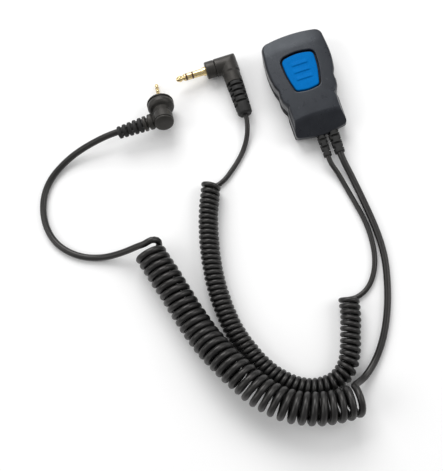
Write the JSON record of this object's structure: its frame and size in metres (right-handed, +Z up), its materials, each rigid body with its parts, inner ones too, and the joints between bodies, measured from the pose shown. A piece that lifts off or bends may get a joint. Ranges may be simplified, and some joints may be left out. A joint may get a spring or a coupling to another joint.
{
  "type": "push-to-talk switch lead",
  "caption": "Hand-held push-to-talk switch pod with a sprung button, a thin curly cord to a right-angle jack plug and a thick curly cord to a right-angle round plug.",
  "frame": {"origin": "on the surface the lead lies on, under the middle of the switch pod", "axes": "+X to the pod's right, +Y from the pod's cable end to its rounded end, +Z up out of the button face"},
  "size_m": [0.16, 0.1875, 0.0217],
  "materials": {
    "housing_plastic": "fine-textured black moulded plastic",
    "button_plastic": "satin blue moulded plastic",
    "seal_rubber": "soft matt rubber",
    "screw_steel": "plain steel",
    "board": "green solder mask",
    "components": "moulded component cases",
    "plunger_plastic": "smooth moulding",
    "terminal_metal": "tinned metal",
    "wire_insulation": "soft sleeve",
    "cord_jacket": "satin black jacket",
    "relief_rubber": "satin moulded rubber",
    "contact_gold": "bright pale gold plating",
    "insulator": "hard black",
    "plug_rubber": "satin moulded rubber"
  },
  "bodies": {
    "housing": {"front_shell": "housing_plastic", "rear_shell": "housing_plastic", "housing_gasket": "seal_rubber", "housing_screws": "screw_steel", "button_seal": "seal_rubber", "circuit_board": "board", "board_parts": "components", "switch_body": "components", "switch_terminals": "terminal_metal", "lead_wires": "wire_insulation", "cord_ends": "cord_jacket", "cord_ferrules": "terminal_metal", "thin_relief": "relief_rubber", "thick_relief": "relief_rubber", "thin_cord_lead": "cord_jacket", "thin_cord_coil": "cord_jacket", "thin_cord_tail": "cord_jacket", "jack_tip": "contact_gold", "jack_ring": "contact_gold", "jack_sleeve": "contact_gold", "jack_insulators": "insulator", "jack_collar": "plug_rubber", "jack_body": "plug_rubber", "jack_relief": "relief_rubber", "thick_cord_lead": "cord_jacket", "thick_cord_coil": "cord_jacket", "thick_cord_tail": "cord_jacket", "pin_tip": "contact_gold", "pin_ring": "contact_gold", "pin_sleeve": "contact_gold", "pin_insulators": "insulator", "ring_clip": "screw_steel", "neck_seal": "seal_rubber", "plug_body": "plug_rubber", "plug_cap": "plug_rubber", "plug_relief": "relief_rubber"},
    "button": {"ptt_button": "button_plastic", "button_pad": "seal_rubber"},
    "plunger": {"switch_plunger": "plunger_plastic"},
    "ring": {"coupling_ring": "plug_rubber"}
  },
  "joints": [
    {"name": "button_press", "type": "slide", "parent": "housing", "child": "button", "axis": [0, 0, -1], "range_m": [0, 0.001], "stiffness_N_per_m": 800},
    {"name": "plunger_press", "type": "slide", "parent": "housing", "child": "plunger", "axis": [0, 0, -1], "range_m": [0, 0.001]},
    {"name": "ring_turn", "type": "hinge", "parent": "housing", "child": "ring", "pos_m": [-0.07098, 0.01132, 0.00764], "axis": [-0.0324, -0.9266, 0.3746], "continuous": true}
  ],
  "couplings": [
    {"joint": "plunger_press", "follows": "button_press", "ratio": 1}
  ]
}
